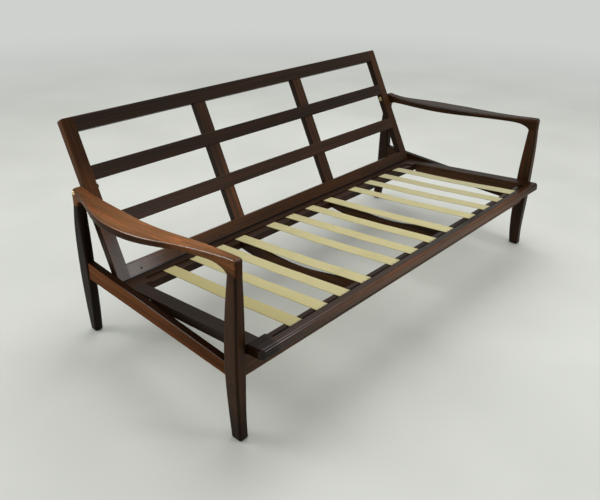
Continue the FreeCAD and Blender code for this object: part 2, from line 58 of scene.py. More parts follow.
# %% Camera
YAW, DIP, ROLL = 0.8172, 0.4194, -0.0136  # radians
STAND = (-1.8570, -1.4704, 1.3688)  # metres
WIDE, HIGH = 600, 500  # pixels, as are the next two
FOCAL_PX, AXIS_PX = 668.55, (278.16, 206.93)
SENSOR = 36.0  # millimetres
forward = np.array([math.sin(YAW) * math.cos(DIP), math.cos(YAW) * math.cos(DIP), -math.sin(DIP)])
level = np.array([math.cos(YAW), -math.sin(YAW), 0.0])
down = np.cross(forward, level)
right = math.cos(ROLL) * level + math.sin(ROLL) * down
down = -math.sin(ROLL) * level + math.cos(ROLL) * down
turn = np.array([right, -down, -forward]).T
camera = bpy.data.objects.new("camera", bpy.data.cameras.new("camera"))
bpy.context.scene.collection.objects.link(camera)
camera.matrix_world = Matrix.Translation(STAND) @ Matrix(turn.tolist()).to_4x4()
camera.data.sensor_width = SENSOR
camera.data.lens = FOCAL_PX * SENSOR / WIDE
camera.data.shift_x = (WIDE / 2 - AXIS_PX[0]) / WIDE
camera.data.shift_y = (AXIS_PX[1] - HIGH / 2) / WIDE
bpy.context.scene.camera = camera
shift = (camera.data.shift_x, camera.data.shift_y)
print("camera: lens %.1f mm, shift %.3f %.3f" % (camera.data.lens, *shift))

# %% [markdown]
# ## Shader maths in plain expressions
# A finish is easier to read as a formula than as a web of nodes. `Wire` holds one socket. Adding or
# multiplying wires adds a Math node, so `1 - mask` works as written. `Bench` owns the node tree of one
# material, or of the world, and has a single method that makes any other node.

# %% Wire
class Wire:
    """One output socket, with arithmetic that adds Math nodes."""

    def __init__(self, bench, socket):
        self.bench, self.socket = bench, socket

    def math(self, operation, *others):
        return self.bench.math(operation, self, *others)

    def __add__(self, other):
        return self.math("ADD", other)

    def __mul__(self, other):
        return self.math("MULTIPLY", other)

    def __sub__(self, other):
        return self.math("SUBTRACT", other)

    def __rsub__(self, other):
        return self.bench.math("SUBTRACT", other, self)

    def __pow__(self, other):
        return self.math("POWER", other)

    __radd__ = __add__

    def step(self, low, high):
        """0 below low, 1 above high, eased between; the other way round if low is above high."""
        if low > high:
            return 1 - self.step(high, low)
        return self.bench.node("ShaderNodeMapRange", {"interpolation_type": "SMOOTHSTEP"},
                               {"Value": self, "From Min": low, "From Max": high})


print("wire: + - * ** and step")


# %% Bench
class Bench:
    """The node tree of a material or of the world, emptied, with one output on it."""

    def __init__(self, owner, output="ShaderNodeOutputMaterial"):
        owner.use_nodes = True
        self.owner, self.tree = owner, owner.node_tree
        self.tree.nodes.clear()
        self.out = self.tree.nodes.new(output)

    def put(self, socket, value):
        if isinstance(value, Wire):
            self.tree.links.new(value.socket, socket)
        elif isinstance(value, (tuple, list)) and socket.type == "RGBA" and len(value) == 3:
            socket.default_value = (*value, 1.0)
        else:
            socket.default_value = value

    def node(self, kind, settings=None, values=None, out=0):
        """Any node: its settings first, then the values or wires of its sockets."""
        made = self.tree.nodes.new(kind)
        for key, value in (settings or {}).items():
            if key == "stops":
                ramp = made.color_ramp.elements
                while len(ramp) < len(value):
                    ramp.new(0.5)
                for element, (place, colour) in zip(ramp, value):
                    element.position = place
                    element.color = (*colour, 1.0)
            else:
                setattr(made, key, value)
        for key, value in (values or {}).items():
            self.put(made.inputs[key], value)
        return Wire(self, made.outputs[out])

    def math(self, operation, *terms):
        return self.node("ShaderNodeMath", {"operation": operation}, dict(enumerate(terms)))

    def vector_math(self, operation, *terms, out=0):
        return self.node("ShaderNodeVectorMath", {"operation": operation}, dict(enumerate(terms)), out)

    def object_place(self):
        return self.node("ShaderNodeTexCoord", out=3)

    def facing(self, axis):
        """How squarely the surface faces a direction of the frame: 1 facing it, 0 side on."""
        return self.dot(self.node("ShaderNodeNewGeometry", out=1), axis)

    def dot(self, vector, axis):
        return self.vector_math("DOT_PRODUCT", vector, tuple(axis), out=1)

    def distance(self, vector, centre, stretch):
        """Distance from a centre, measured with each axis drawn out by its stretch."""
        shifted = self.vector_math("SUBTRACT", vector, centre)
        return self.vector_math("LENGTH", self.vector_math("DIVIDE", shifted, stretch), out=1)

    def vector(self, x, y, z):
        return self.node("ShaderNodeCombineXYZ", None, {0: x, 1: y, 2: z})

    def noise(self, vector, scale=1.0, detail=2.0, rough=0.5):
        return self.node("ShaderNodeTexNoise", None,
                         {"Vector": vector, "Scale": scale, "Detail": detail, "Roughness": rough})

    def mix(self, share, a, b):
        return self.node("ShaderNodeMix", {"data_type": "RGBA"}, {0: share, 6: a, 7: b}, out=2)

    def bump(self, height, strength, distance):
        return self.node("ShaderNodeBump", None,
                         {"Height": height, "Strength": strength, "Distance": distance})

    def shown(self):
        """1 where the eye meets a surface straight, in a reflection or through glass, 0 for its light."""
        rays = [self.node("ShaderNodeLightPath", out=name)
                for name in ("Is Camera Ray", "Is Glossy Ray", "Is Transmission Ray")]
        return rays[0].math("MAXIMUM", rays[1]).math("MAXIMUM", rays[2])

    def shader(self, **sockets):
        return self.node("ShaderNodeBsdfPrincipled", None,
                         {key.replace("_", " "): value for key, value in sockets.items()})

    def finish(self, surface):
        self.put(self.out.inputs[0], surface)
        return self.owner


def material_bench(name):
    return Bench(bpy.data.materials.new(name))


print("bench: one node method, for materials and the world")

# %% [markdown]
# ## Stained hardwood
# The wood is a red-brown hardwood, stained almost black in places, under a satin oil. A board is cut from
# a trunk, so its pattern comes from growth rings round a pith that lies outside the board: distance from
# the pith, bent by slow noise, gives the lines on a flat face. Long thin noise gives fibres, red streaks
# and short dark pores. Grain runs along each piece, so the pattern is measured along the piece's own axis
# and across it. Every piece gets its own seed, as every piece of a real frame is cut from another place
# in the board.

# %% Piece axes
BACK_LEAN, SEAT_TILT, SIDE_RISE = math.radians(27.2), math.radians(5.21), math.radians(3.1)
UP = (0, 0, 1)
LONG = (1, 0, 0)
DEEP = (0, 1, 0)
LEAN = (0, math.sin(BACK_LEAN), math.cos(BACK_LEAN))
SLOPE = (0, math.cos(SEAT_TILT), -math.sin(SEAT_TILT))
RISE = (0, math.cos(SIDE_RISE), math.sin(SIDE_RISE))
SEAT_UP = (0, math.sin(SEAT_TILT), math.cos(SEAT_TILT))


def across(along):
    """Two unit directions square to a piece's axis."""
    a = Vector(along).normalized()
    side = a.cross(Vector((1, 0, 0)) if abs(a.x) < 0.9 else Vector((0, 1, 0))).normalized()
    return a, side, a.cross(side)


def span(name, direction):
    """Lowest and highest reach of a node along a direction, in metres."""
    mesh = nodes[name].data
    points = np.empty(len(mesh.vertices) * 3)
    mesh.vertices.foreach_get("co", points)
    reach = points.reshape(-1, 3) @ np.array(direction)
    return float(reach.min()), float(reach.max())


print("front leg reaches", [round(c, 3) for c in span("front_leg_left", UP)])

# %% [markdown]
# ### Stain, wear and polish
# One number, the stain's depth, sets four related colours: the dark lines, the ground, the pale fibres
# and the red streaks. Handled faces have lost some of their stain and others have kept more, so a piece
# may have further depths on parts of its surface. Some of these depths are painted light and shade: a
# face is lighter where light falls on it and darker in shade. A mask says where: by the way a face looks,
# by height, or round a spot. Most of the wood is dull. Where hands have polished it, a thin coat of old
# varnish shines, and it has its own mask.

# %% Stain
DARK, GROUND = (0.32, 0.21, 0.10), (1.0, 0.41, 0.145)
PALE, RED = (1.85, 0.79, 0.30), (2.0, 0.58, 0.18)


def stain(depth):
    """Dark line, ground, pale fibre and red streak for a stain that leaves this much red light."""
    return [tuple(depth * c for c in colour) for colour in (DARK, GROUND, PALE, RED)]


print("stain 0.05:", [tuple(round(c, 4) for c in colour) for colour in stain(0.05)])

# %% Wood
SEED_STEP = 3.7  # metres along the grain between the patterns of two pieces
GRAIN = {  # rate along and across the grain, detail, roughness, shift along
    "wander": (1.1, 4, 2.0, 0.5, 0),
    "fibre": (8, 360, 4.0, 0.65, 0),
    "band": (1.6, 70, 3.0, 0.6, 0),
    "pore": (60, 1500, 1.0, 0.5, 0),
    "cloud": (2.2, 7, 2.0, 0.5, 0),
    "flame": (1.2, 110, 2.0, 0.5, 5),
    "rubbed": (9, 30, 3.0, 0.5, 0),
}
RINGS_PER_METRE, RING_BEND, PITH_BEND = 150, 0.012, 0.05
LATE_DARK, CLOUD_DARK, MIDDLE_TONE = 0.18, 0.45, 0.55
MOST_RED, PORE_DARK, WORN_PALE = 0.7, 0.55, 0.25
WEAR_FROM, WEAR_FULL = 0.0065, 0.0015  # metres from a square edge
GRAIN_BUMP, GRAIN_RELIEF = 0.22, 0.0006
POLISH_ROUGH = 0.16


def wood(name, along, seed, depth, shine, satin=0.40, streak=1.0, ruddy=0.0, straight=False,
         wear_and_light=(), polish=None):
    """Rings: sawtooth of distance from a pith.

    Fibres, streaks and pores: noise drawn out along the axis. Worn edges: distance from the box of a
    straight piece, broken up by noise.
    """
    b = material_bench("wood_" + name)
    a_dir, s_dir, t_dir = across(along)
    place = b.object_place()
    a = b.dot(place, a_dir) + SEED_STEP * seed
    s = b.dot(place, s_dir)
    t = b.dot(place, t_dir)
    s0, s1 = span(name, s_dir)
    t0, t1 = span(name, t_dir)
    mid_s = s - (s0 + s1) / 2
    mid_t = t - (t0 + t1) / 2

    def grain(kind):
        rate, wide_rate, detail, rough, shift = GRAIN[kind]
        return b.noise(b.vector(a * rate + shift, s * wide_rate, t * wide_rate), 1.0, detail, rough)

    rng = np.random.default_rng(seed)
    pith_s = rng.uniform(-0.10, 0.10)
    pith_t = rng.uniform(0.06, 0.16)
    wander = grain("wander") - 0.5
    far_s = mid_s + pith_s + wander * PITH_BEND
    far_t = mid_t + pith_t
    radius = (far_s * far_s + far_t * far_t) ** 0.5
    late = ((radius + wander * RING_BEND) * RINGS_PER_METRE).math("FRACT").step(0.25, 1.0)
    fibre = grain("fibre") - 0.5
    band = grain("band") - 0.5
    pore = grain("pore").step(0.36, 0.30)
    cloud = grain("cloud") - 0.5
    tone = (fibre + band - late * LATE_DARK) * streak + cloud * CLOUD_DARK + MIDDLE_TONE
    flame = grain("flame").step(0.46, 0.70) * (cloud + 0.5).step(0.30, 0.62)
    red_share = flame * MOST_RED + ruddy

    def stained(amount):
        dark, ground, pale, red = stain(amount)
        stops = [(0.12, dark), (0.5, ground), (0.95, pale)]
        return b.mix(red_share, b.node("ShaderNodeValToRGB", {"stops": stops}, {0: tone}), red)

    colour = stained(depth)
    # Further depths: some for wear, some painted light and shade.
    for where, amount in wear_and_light:
        colour = b.mix(where(b, place), colour, stained(amount))
    colour = b.mix(pore * PORE_DARK, colour, stain(0.3 * depth)[0])
    rough = fibre * 0.16 + cloud * 0.10 + pore * 0.15 + satin
    if straight:
        inside_s = (s1 - s0) / 2 - mid_s.math("ABSOLUTE")
        inside_t = (t1 - t0) / 2 - mid_t.math("ABSOLUTE")
        edge = inside_s.math("MAXIMUM", inside_t).step(WEAR_FROM, WEAR_FULL)
        worn = edge * grain("rubbed").step(0.42, 0.62)
        colour = b.mix(worn * WORN_PALE, colour, stain(depth)[2])
        rough = rough - worn * 0.06
    relief = fibre * 0.35 + band * 0.25 - pore * 0.8
    coat = {"Coat_Weight": polish(b, place), "Coat_Roughness": POLISH_ROUGH} if polish else {}
    return b.finish(b.shader(Base_Color=colour, Roughness=rough,
                             Normal=b.bump(relief, GRAIN_BUMP, GRAIN_RELIEF),
                             Specular_IOR_Level=shine, **coat))


print("wood:", len(GRAIN), "kinds of noise,", RINGS_PER_METRE, "rings in a metre")


# %% [markdown]
# ### Masks by the way a face looks
# On the fixed pieces the surface's own direction tells a top from a side. The rounded edges of the legs
# are painted darker, as painted shade. Glints follow the rounded upper edges of the arms and rails.
# A mask takes a bench and a place on the piece, and gives a wire from 0 to 1. Places are in metres.

# %% Face masks
def top_face(b, place):
    return b.facing(UP).step(0.35, 0.80)


def front_face(b, place):
    return b.facing(DEEP).step(-0.45, -0.85)


def outer_left(b, place):
    return b.facing(LONG).step(-0.40, -0.85)


def rounded_up(b, place):
    """Upper edges only: neither flat on top nor upright."""
    up = b.facing(UP)
    return up.step(0.25, 0.50) * up.step(0.97, 0.85)


def soft_glint(b, place):
    return rounded_up(b, place) * 0.3


# Painted shade: the rounded edges of the legs are darkened.
def leg_edge_shade(b, place):
    """The larger of the two side-on measures is 1 on a leg's flat faces and less on its rounded edges."""
    square = b.facing(LONG).math("ABSOLUTE").math("MAXIMUM", b.facing(DEEP).math("ABSOLUTE"))
    return square.step(0.975, 0.90) * 0.8


def foot(b, place):
    return b.dot(place, UP).step(0.16, 0.04) * 0.8


# Painted shade on the leg below the seat.
def under_seat_shade(b, place):
    return b.dot(place, UP).step(0.34, 0.24)


print("masks by face: top, front, outer left, rounded edges; by height: foot, below the seat")


# %% [markdown]
# ### Masks of the left end
# The left arm is palest on top, least near its ends: partly worn, partly painted light from above.
# Its outer side is painted lighter in front and round the bolt, as painted light from the left. The leg
# under it has painted light from the left on its outer side, redder high up, and painted shade beside the
# seat's corner. The side rail is paler behind than in front, and painted dark on top, as painted shade
# under the seat frame. The left bearer is dark behind.

# %% Left end masks
SEAT_CORNER, CORNER_REACH = (-0.848, -0.411, 0.318), (0.022, 0.022, 0.040)


# Partly wear, partly painted light: the top is paler where light falls from above.
def arm_top(b, place):
    y = b.dot(place, DEEP)
    return top_face(b, place) * (y.step(-0.42, -0.28) * y.step(0.30, -0.08) * 0.65 + 0.35)


# Painted light from the left: the arm's outer side is lighter in front.
def arm_flank(b, place):
    return outer_left(b, place) * b.dot(place, DEEP).step(-0.12, -0.26)


# Painted light from the left: the arm's outer side is lighter round the bolt.
def arm_rear(b, place):
    return outer_left(b, place) * b.dot(place, DEEP).step(0.14, 0.26)


def arm_joint(b, place):
    """The low part of the arm in front, where it meets the leg."""
    return b.dot(place, UP).step(0.556, 0.526) * b.dot(place, DEEP).step(0.0, -0.1)


def arm_glint(b, place):
    """A narrow line where the rounded edge turns from top to side; none near the rear end."""
    up = b.facing(UP)
    return up.step(0.48, 0.62) * up.step(0.94, 0.84) * b.dot(place, DEEP).step(0.26, 0.08) * 0.9


# Painted light from the left on the leg's outer side, most high up.
def high_outer_left(b, place):
    return outer_left(b, place) * b.dot(place, UP).step(0.20, 0.52)


# Painted shade on the leg's front, in the corner beside the seat's front rail.
def seat_corner_shade(b, place):
    return b.distance(place, SEAT_CORNER, CORNER_REACH).step(1.0, 0.35) * 0.8


def rail_front(b, place):
    return b.dot(place, DEEP).step(0.02, -0.30)


def rail_glint(b, place):
    return rounded_up(b, place) * b.dot(place, DEEP).step(0.16, 0.04)


def bearer_rear(b, place):
    return b.dot(place, DEEP).step(-0.10, 0.10)


print("left end: five masks for the arm, two for the leg, two for the rail, one for the bearer")

# %% [markdown]
# ### Masks of the seat frame
# Two numbers place a point on the sloping seat: v runs back from the front edge, w stands up from the
# top. The front rail's raised front is polished and its face is red, reddest a little right of the
# middle. Its left corner is nearly black. Behind the raised front lies a dull ledge for the straps,
# with painted shade along its wall. The rear rail has painted shade along the edge where the back
# comes to rest.

# %% Seat frame masks
SEAT_FRONT, SEAT_HIGH = -0.4630, 0.3153


def seat_place(b, place):
    v = b.dot(place, SLOPE) - (SEAT_FRONT * SLOPE[1] + SEAT_HIGH * SLOPE[2])
    w = b.dot(place, SEAT_UP) - (SEAT_FRONT * SEAT_UP[1] + SEAT_HIGH * SEAT_UP[2])
    return v, w


def nosing(b, place):
    """The raised front, 32 mm deep."""
    return seat_place(b, place)[0].step(0.0325, 0.0315)


def nosing_face(b, place):
    """Front face, growing redder from the left, and fading at the right end and at its lower edge."""
    x = b.dot(place, LONG)
    w = seat_place(b, place)[1]
    grown = x.step(-0.80, -0.40) * 0.5 + x.step(-0.60, 0.60) * 0.5
    ends = x.step(0.84, 0.36) * 0.85 + 0.15
    return b.facing(DEEP).step(-0.05, -0.40) * grown * ends * (w.step(-0.030, -0.024) * 0.5 + 0.5)


def dark_corner(b, place):
    return b.dot(place, LONG).step(-0.765, -0.785)


# Painted shade in the corner of the ledge along the raised front's wall.
def ledge_wall_shade(b, place):
    v = seat_place(b, place)[0]
    inside = b.dot(place, LONG).math("ABSOLUTE").step(0.768, 0.764)
    return v.step(0.0290, 0.0310) * v.step(0.0445, 0.0410) * inside


def nosing_polish(b, place):
    """Most on the raised front, with a glint along its left half; less on the ledge, none at the wall."""
    x = b.dot(place, LONG)
    corner = dark_corner(b, place)
    glint = rounded_up(b, place) * x.step(-0.10, -0.50) * (1 - corner * 0.7) * 0.24
    even = nosing(b, place) * (x.step(0.85, 0.10) * 0.32 - 0.14) + 0.36
    return even * (1 - ledge_wall_shade(b, place)) * (1 - corner * 0.35) + glint


# Painted shade along the rear rail's rear edge, under the back's bottom rail.
def rest_edge_shade(b, place):
    rear = span("seat_rear_rail", SLOPE)[1]
    return b.dot(place, SLOPE).step(rear - 0.0085, rear - 0.0055)


print("seat frame: front edge at y %.3f, z %.3f" % (SEAT_FRONT, SEAT_HIGH))

# %% [markdown]
# ### Masks of the back
# The back turns, so its masks use places on the piece alone. One number runs up along a stile from the
# pivot. The uprights' sides that look to the left are painted darker, as painted shade, and the bottom
# rail has painted shadow along its lower edge. The stiles' outer sides have painted light from the left
# high up, and the left stile's is painted darker low down, as painted shade. The lower left corner of
# the back is polished.

# %% Back masks
PIVOT_Y, PIVOT_Z = 0.3455, 0.5340


def up_stile(b, place):
    return b.dot(place, LEAN) - (PIVOT_Y * LEAN[1] + PIVOT_Z * LEAN[2])


# On the left stile this outer side is painted darker, as painted shade; outer_edge lightens its upper
# part.
def outer_side(b, place):
    return b.dot(place, LONG).math("ABSOLUTE").step(0.8365, 0.8390)


# Painted light from the left on the upper outer side of a stile.
def outer_edge(b, place):
    return outer_side(b, place) * up_stile(b, place).step(-0.08, 0.06)


def shaded_left_side(name):
    """A mask for one upright: the side that looks to the left, painted darker as painted shade."""
    low = span(name, LONG)[0]
    return lambda b, place: b.dot(place, LONG).step(low + 0.0024, low + 0.0010)


def stile_middle(b, place):
    up = up_stile(b, place)
    return up.step(-0.24, -0.12) * up.step(0.10, 0.00)


def stile_polish(b, place):
    return up_stile(b, place).step(-0.05, -0.20) * 0.14


def muntin_low(b, place):
    return up_stile(b, place).step(0.08, -0.20)


def left_half(b, place):
    return b.dot(place, LONG).step(0.00, -0.55)


def left_end(b, place):
    return b.dot(place, LONG).step(-0.60, -0.78)


def rail_end_polish(b, place):
    return left_end(b, place) * 0.26


# Painted shadow along the bottom rail's lower edge, over the gap above the seat's rear rail.
def low_edge_shade(b, place):
    low = span("back_bottom_rail", LEAN)[0]
    return b.dot(place, LEAN).step(low + 0.0100, low + 0.0065)


print("back: stile reaches %.3f to %.3f m along its lean" % span("back_stile_left", LEAN))

# %% [markdown]
# ### Wear and painted light of the pieces
# A piece's wear and painted light is a list of places, each with its own stain depth, laid over each
# other in order: some depths stand for wear, some paint light and shade. With it come, where the piece
# needs them, roughness, streak strength, redness and polish. `straight` marks square pieces, whose long
# edges are rubbed. The right arm has kept far more stain than the left one.

# %% Wear
SQUARE = {"straight": True}
LEFT_ARM = {
    "wear_and_light": [(arm_top, 0.225), (arm_flank, 0.135), (arm_rear, 0.115), (arm_joint, 0.048),
              (front_face, 0.034)],
    "satin": 0.34, "streak": 0.75, "polish": arm_glint}
RIGHT_ARM = {"wear_and_light": [(top_face, 0.022)], "satin": 0.34, "polish": soft_glint}
# Painted light from the left on the outer side; painted shade on the rounded edges and by the seat's
# corner.
LEFT_LEG = {
    "wear_and_light": [(outer_left, 0.036), (high_outer_left, 0.048), (foot, 0.014), (leg_edge_shade, 0.007),
              (seat_corner_shade, 0.009)]}
# Painted shade below the seat and on the rounded edges.
RIGHT_LEG = {"wear_and_light": [(under_seat_shade, 0.020), (leg_edge_shade, 0.008)]}
# Painted shade on the top, under the seat frame.
LEFT_RAIL = {
    "wear_and_light": [(rail_front, 0.068), (top_face, 0.010)],
    "ruddy": 0.3, "streak": 1.4, "polish": rail_glint}
# Painted shade on the top, under the seat frame.
RIGHT_RAIL = {"wear_and_light": [(top_face, 0.012)]}
NOSING = {
    "wear_and_light": [(nosing, 0.022), (nosing_face, 0.110), (ledge_wall_shade, 0.002), (dark_corner, 0.008),
              (outer_left, 0.013)],
    "satin": 0.38, "straight": True, "polish": nosing_polish}
REAR_RAIL = {"wear_and_light": [(rest_edge_shade, 0.003)], "straight": True}
# Painted shade: the top is darker than the lit inner face.
RIGHT_SEAT_SIDE = {"wear_and_light": [(top_face, 0.016)], "straight": True}
LEFT_BEARER = {"wear_and_light": [(bearer_rear, 0.014)]}
# Painted shade low on the outer side, painted light from the left high up.
LEFT_STILE = {
    "wear_and_light": [(stile_middle, 0.074), (outer_side, 0.014), (outer_edge, 0.085)],
    "satin": 0.36, "streak": 0.7, "ruddy": 0.10, "straight": True, "polish": stile_polish}
RIGHT_STILE = {
    "wear_and_light": [(outer_edge, 0.10), (shaded_left_side("back_stile_right"), 0.015)],
    "satin": 0.36, "straight": True}
BOTTOM_RAIL = {
    "wear_and_light": [(left_half, 0.074), (left_end, 0.048), (low_edge_shade, 0.004)],
    "satin": 0.34, "streak": 0.6, "straight": True, "polish": rail_end_polish}
# The left sides of the muntins carry painted shade.
LEFT_MUNTIN = {"wear_and_light": [(muntin_low, 0.072), (shaded_left_side("back_muntin_left"), 0.012)], "straight": True}
RIGHT_MUNTIN = {"wear_and_light": [(shaded_left_side("back_muntin_right"), 0.014)], "straight": True}
print("left arm: worn in", len(LEFT_ARM["wear_and_light"]), "places")

# %% [markdown]
# ### Pieces
# Each piece has its grain direction, its stain's depth, its shine and its wear. The shine is low, because
# most of the old finish has gone dull.

# %% Wooden pieces
wooden = {
    "front_leg_left": (UP, 0.028, 0.09, LEFT_LEG),
    "front_leg_right": (UP, 0.044, 0.12, RIGHT_LEG),
    "rear_leg_left": (UP, 0.008, 0.08, {}),
    "rear_leg_right": (UP, 0.020, 0.09, {}),
    "armrest_left": (DEEP, 0.036, 0.035, LEFT_ARM),
    "armrest_right": (DEEP, 0.034, 0.08, RIGHT_ARM),
    "side_rail_left": (RISE, 0.104, 0.012, LEFT_RAIL),
    "side_rail_right": (RISE, 0.036, 0.08, RIGHT_RAIL),
    "front_cross_rail": (LONG, 0.052, 0.10, SQUARE),
    "seat_front_rail": (LONG, 0.017, 0.015, NOSING),
    "seat_rear_rail": (LONG, 0.021, 0.14, REAR_RAIL),
    "seat_side_rail_left": (SLOPE, 0.013, 0.13, SQUARE),
    "seat_side_rail_right": (SLOPE, 0.056, 0.12, RIGHT_SEAT_SIDE),
    "seat_bearer_left": (SLOPE, 0.050, 0.06, LEFT_BEARER),
    "seat_bearer_right": (SLOPE, 0.034, 0.08, {}),
    "back_stile_left": (LEAN, 0.036, 0.06, LEFT_STILE),
    "back_stile_right": (LEAN, 0.040, 0.08, RIGHT_STILE),
    "back_top_rail": (LONG, 0.019, 0.13, SQUARE),
    "back_upper_rail": (LONG, 0.018, 0.13, SQUARE),
    "back_lower_rail": (LONG, 0.029, 0.16, SQUARE),
    "back_bottom_rail": (LONG, 0.041, 0.09, BOTTOM_RAIL),
    "back_muntin_left": (LEAN, 0.026, 0.13, LEFT_MUNTIN),
    "back_muntin_right": (LEAN, 0.034, 0.12, RIGHT_MUNTIN),
}


def dress(name, material):
    """Give a node one finish."""
    slots = nodes[name].data.materials
    slots.clear()
    slots.append(material)


for seed, (name, (along, depth, shine, wear)) in enumerate(wooden.items(), start=1):
    dress(name, wood(name, along, seed, depth, shine, **wear))
print("wood on", len(wooden), "pieces")

# %% [markdown]
# ## Brass, steel and browned metal
# The bolts and washers are polished brass, a little smudged by fingers. The right cap nut has gone dull
# and the left one has the same dark brown finish as the screws. Staples are bright steel with drawn
# scratches. Screws, spacers and the studs on the bottom rail are browned, worn brighter in places. One
# function makes them all, because only colours, gloss and depth of scratches differ.

# %% Metal
SMUDGE_RATE, SCRATCH_RATE, DRAWN_RATE = 90.0, 900, 5200


def metal(name, colour, dull, rough, scratch):
    """Metal whose colour and gloss drift with noise, with fine scratches as bump."""
    b = material_bench("metal_" + name)
    place = b.object_place()
    smudge = b.noise(place, SMUDGE_RATE, 3.0)
    drawn = b.vector(b.dot(place, LONG) * SCRATCH_RATE, b.dot(place, DEEP) * SCRATCH_RATE,
                     b.dot(place, UP) * DRAWN_RATE)
    fine = b.noise(drawn, 1.0, 2.0)
    return b.finish(b.shader(Base_Color=b.mix(smudge.step(0.45, 0.75), colour, dull), Metallic=1.0,
                             Roughness=rough + (smudge - 0.5) * 0.2 + (fine - 0.5) * 0.1,
                             Normal=b.bump(fine, scratch, 0.0002)))


brass = metal("brass", (0.86, 0.68, 0.36), (0.62, 0.46, 0.22), 0.22, 0.15)
old_brass = metal("old_brass", (0.36, 0.27, 0.14), (0.17, 0.12, 0.07), 0.34, 0.2)
steel = metal("steel", (0.55, 0.55, 0.54), (0.38, 0.37, 0.36), 0.34, 0.3)
browned = metal("browned", (0.045, 0.034, 0.028), (0.10, 0.075, 0.058), 0.42, 0.3)
hardware = {
    "pivot_bolt": brass,
    "pivot_washers": brass,
    "pivot_nut_right": old_brass,
    "pivot_nut_left": browned,
    "staples_": steel,
    "seat_screws_": browned,
    "seat_spacers_": browned,
    "cushion_studs": browned,
}
for name in nodes:
    for start, material in hardware.items():
        if name.startswith(start):
            dress(name, material)
print("metal on", sum(name.startswith(tuple(hardware)) for name in nodes), "nodes")

# %% [markdown]
# ## Elastic webbing
# Each strap is a rubber-cored woven band, pulled tight from the front rebate to the rear one. It could
# be a flat box, but a real band has thicker selvedges, a slightly slack middle and faint unevenness
# along its length. The cross-section is a closed loop, carried along the sloping seat; both are arrays,
# so one expression makes all the points of a strap. Lengths are in metres.

# %% Tube of rings
def on_seat(x, v, w):
    """Seat coordinates to the frame: v runs back along the slope, w stands square to it."""
    y = SEAT_FRONT + v * math.cos(SEAT_TILT) + w * math.sin(SEAT_TILT)
    z = SEAT_HIGH - v * math.sin(SEAT_TILT) + w * math.cos(SEAT_TILT)
    return np.stack([x, y, z], -1)


def closed_tube(name, rings, uv):
    """A mesh from an array of rings of points (rows, columns, 3), with capped ends and a UV map."""
    rows, columns = rings.shape[:2]
    i, j = np.meshgrid(np.arange(rows - 1), np.arange(columns), indexing="ij")
    k = (j + 1) % columns
    quads = np.stack([i * columns + j, i * columns + k, (i + 1) * columns + k, (i + 1) * columns + j], -1)
    first = np.arange(columns)[::-1]
    last = (rows - 1) * columns + np.arange(columns)
    mesh = bpy.data.meshes.new(name)
    mesh.from_pydata(rings.reshape(-1, 3).tolist(), [],
                     quads.reshape(-1, 4).tolist() + [first.tolist(), last.tolist()])
    layer = mesh.uv_layers.new(name="along")
    index = np.empty(len(mesh.loops), dtype=np.int32)
    mesh.loops.foreach_get("vertex_index", index)
    layer.data.foreach_set("uv", uv.reshape(-1, 2)[index].ravel().astype(np.float32))
    mesh.polygons.foreach_set("use_smooth", np.ones(len(mesh.polygons), dtype=bool))
    mesh.update()
    made = bpy.data.objects.new(name, mesh)
    bpy.context.scene.collection.objects.link(made)
    return made


print("seat frame, 0.6 m behind its front edge:", np.round(on_seat(0.0, 0.6, 0.0), 3))

# %% Strap surface
FRONT_END, REAR_END = 0.0326, 0.6139
EDGE_FRONT, EDGE_REAR = 0.060, 0.580  # inner edges of the two rails
BED, LIFT, HALF_THICK = -0.0050, 0.00125, 0.00110
ROWS, SPREAD = 140, 25
SELVEDGE_AT, SELVEDGE_WIDE, SELVEDGE_RISE = 0.93, 0.05, 0.16
LEAST_SAG, MOST_SAG, MOST_TIP, MOST_DRIFT = 0.0015, 0.0030, 0.0008, 0.0008
WAVE, WAIST = 0.00035, 0.012


def strap(name, x0, x1, seed):
    """Half thickness h(u): even, with raised selvedges and round edges.

    Sag: sine squared between the rails, with a slight tip to one side, a faint wave and a narrow waist.
    """
    rng = np.random.default_rng(100 + seed)
    u = np.linspace(0.0, 1.0, SPREAD)
    edge = np.abs(2 * u - 1)
    selvedge = 1 + SELVEDGE_RISE * np.exp(-((edge - SELVEDGE_AT) / SELVEDGE_WIDE) ** 2)
    half = HALF_THICK * np.sqrt(np.clip(1 - edge ** 24, 0, 1)) * selvedge
    around_u = np.concatenate([u, u[-2:0:-1]])
    around_h = np.concatenate([half, -half[-2:0:-1]])
    v = np.linspace(FRONT_END, REAR_END, ROWS)[:, None]
    slack = np.clip((v - EDGE_FRONT) / (EDGE_REAR - EDGE_FRONT), 0, 1)
    hump = np.sin(np.pi * slack) ** 2
    tip = rng.uniform(-MOST_TIP, MOST_TIP)
    sag = -hump * rng.uniform(LEAST_SAG, MOST_SAG) + hump * tip * (2 * around_u - 1)
    wave = hump * WAVE * np.sin(v * rng.uniform(35, 60) + rng.uniform(0, 6))
    mid = (x0 + x1) / 2 + hump * rng.uniform(-MOST_DRIFT, MOST_DRIFT)
    x = mid + (around_u - 0.5) * (x1 - x0) * (1 - WAIST * hump)
    w = BED + LIFT + around_h + sag + wave + 0 * v
    uv = np.stack([around_u + 0 * v, v + 0 * around_u], -1)
    return closed_tube(name, on_seat(x, v + 0 * x, w), uv)


print("strap section has", 2 * SPREAD - 2, "points")

# %% [markdown]
# ## Webbing weave
# Close up, the band shows cross threads about two millimetres apart, packed by finer lengthwise ones,
# on a pale straw ground that has yellowed a little along the edges and where it has been handled. The
# straps at the left end are yellower and darker: partly yellowed, partly painted shade of the left arm.
# Those at the right end are a little darker and greyer. The pattern follows the strap, so it reads the
# strap's own UV map: u across, v along in metres.

